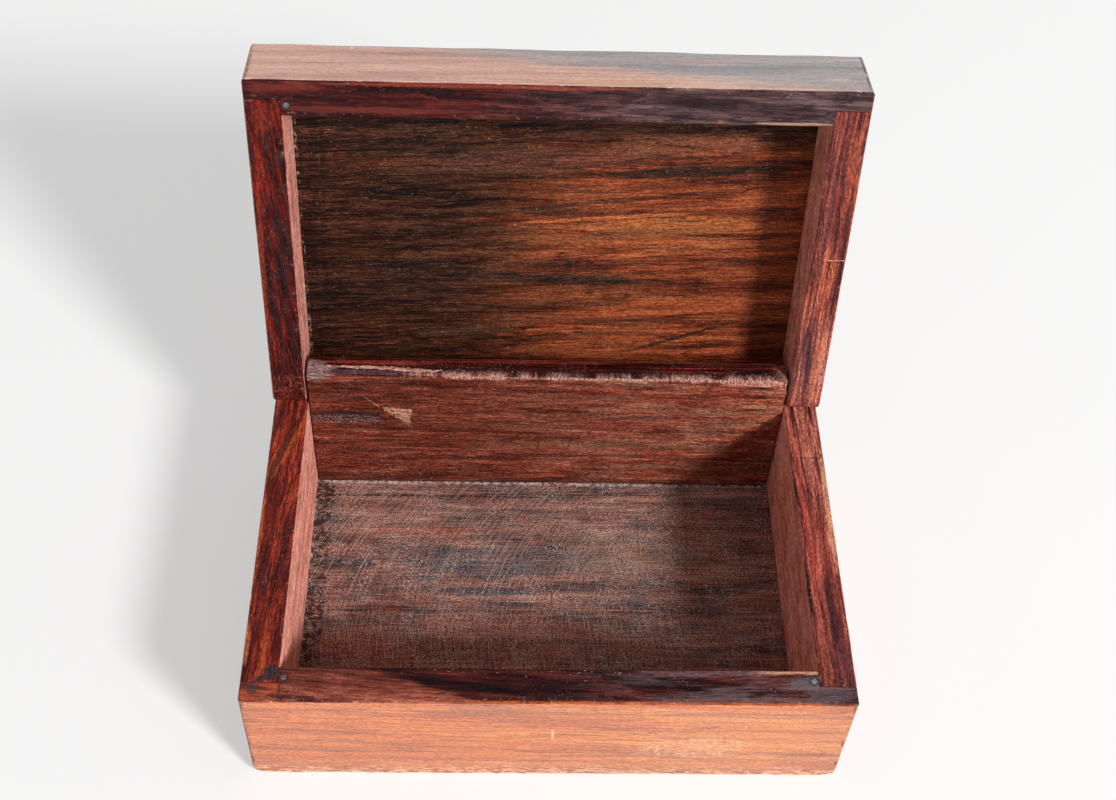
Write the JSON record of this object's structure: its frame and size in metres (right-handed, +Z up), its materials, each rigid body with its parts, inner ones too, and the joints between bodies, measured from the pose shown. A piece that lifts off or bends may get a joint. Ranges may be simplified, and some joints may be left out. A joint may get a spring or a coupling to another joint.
{
  "type": "hinged wooden box",
  "caption": "Small rectangular hardwood box whose lid turns on two hidden pins and rests open on the rear edge, with simple inlay let into the lid's top.",
  "frame": {"origin": "middle of the base's underside, on the surface the box stands on", "axes": "+Z up, +X along the front to the right, +Y from the front towards the hinge"},
  "size_m": [0.152, 0.1282, 0.1391],
  "materials": {
    "front_wood": "worn salmon-brown rosewood with dark streaks, thin old wax",
    "wall_wood": "dark red-brown rosewood with purple-black streaks, thin old wax",
    "panel_wood": "dark brown rosewood with orange and black figure, dry",
    "floor_wood": "dusty purple-brown rosewood with fine scratches",
    "pin_metal": "dull grey, lightly tarnished",
    "pale_inlay": "pale fine-grained wood, waxed flush",
    "dark_inlay": "black fine-grained wood, waxed flush"
  },
  "bodies": {
    "base": {"base_front_wall": "front_wood", "base_left_wall": "wall_wood", "base_right_wall": "wall_wood", "base_back_wall": "wall_wood", "base_floor_panel": "floor_wood", "base_corner_pin_left": "pin_metal", "base_corner_pin_right": "pin_metal", "hinge_pin_left": "pin_metal", "hinge_pin_right": "pin_metal"},
    "lid": {"lid_front_wall": "front_wood", "lid_left_wall": "wall_wood", "lid_right_wall": "wall_wood", "lid_rear_rail": "wall_wood", "lid_top_panel": "panel_wood", "lid_corner_pin_left": "pin_metal", "lid_corner_pin_right": "pin_metal", "banding_front": "pale_inlay", "banding_right": "pale_inlay", "banding_rear": "pale_inlay", "banding_left": "pale_inlay", "lozenge_front_left": "pale_inlay", "lozenge_front_right": "dark_inlay", "lozenge_rear_left": "dark_inlay", "lozenge_rear_right": "pale_inlay"}
  },
  "joints": [
    {"name": "lid_hinge", "type": "hinge", "parent": "base", "child": "lid", "pos_m": [0, 0.04635, 0.043], "axis": [1, 0, 0], "range_deg": [0, 100.6]}
  ]
}
